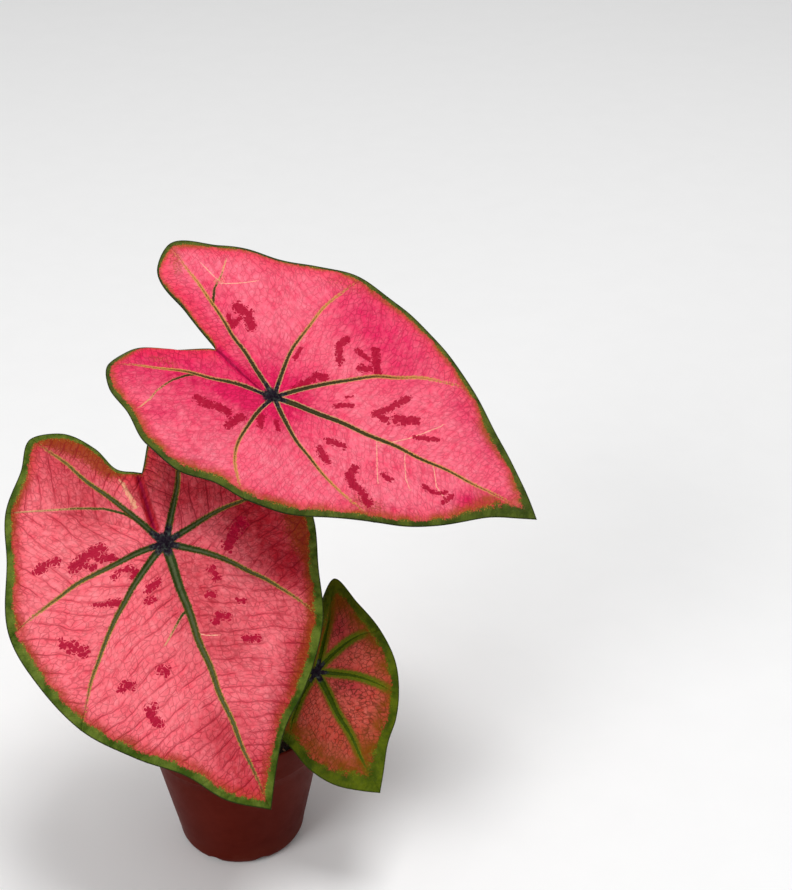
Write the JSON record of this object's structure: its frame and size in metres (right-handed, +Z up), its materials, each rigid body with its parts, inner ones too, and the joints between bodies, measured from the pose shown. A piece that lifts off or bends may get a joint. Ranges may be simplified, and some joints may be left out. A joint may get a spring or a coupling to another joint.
{
  "type": "caladium in a nursery pot",
  "caption": "Potted foliage plant with large pink heart-shaped leaves, green margins and dark veins, in a small tapered nursery pot.",
  "frame": {"origin": "centre of the pot's flat underside, on the surface that it stands on", "axes": "+Z up along the pot's axis; the picture was taken from the -Y side, looking down"},
  "size_m": [0.2675, 0.2153, 0.3036],
  "materials": {
    "pot_plastic": "satin terracotta-coloured plastic",
    "peat_soil": "rough moist peat",
    "tuber_skin": "rough tuber skin",
    "stalk": "smooth green plant stalk",
    "large_blade": "satin pink leaf with green margin and dark veins",
    "small_blade": "satin red-brown leaf with wide green margin"
  },
  "bodies": {
    "root": {"pot": "pot_plastic", "soil": "peat_soil", "tuber": "tuber_skin", "upper_leaf_stalk": "stalk", "front_leaf_stalk": "stalk", "side_leaf_stalk": "stalk", "upper_leaf_blade": "large_blade", "front_leaf_blade": "large_blade", "side_leaf_blade": "small_blade"}
  },
  "joints": []
}
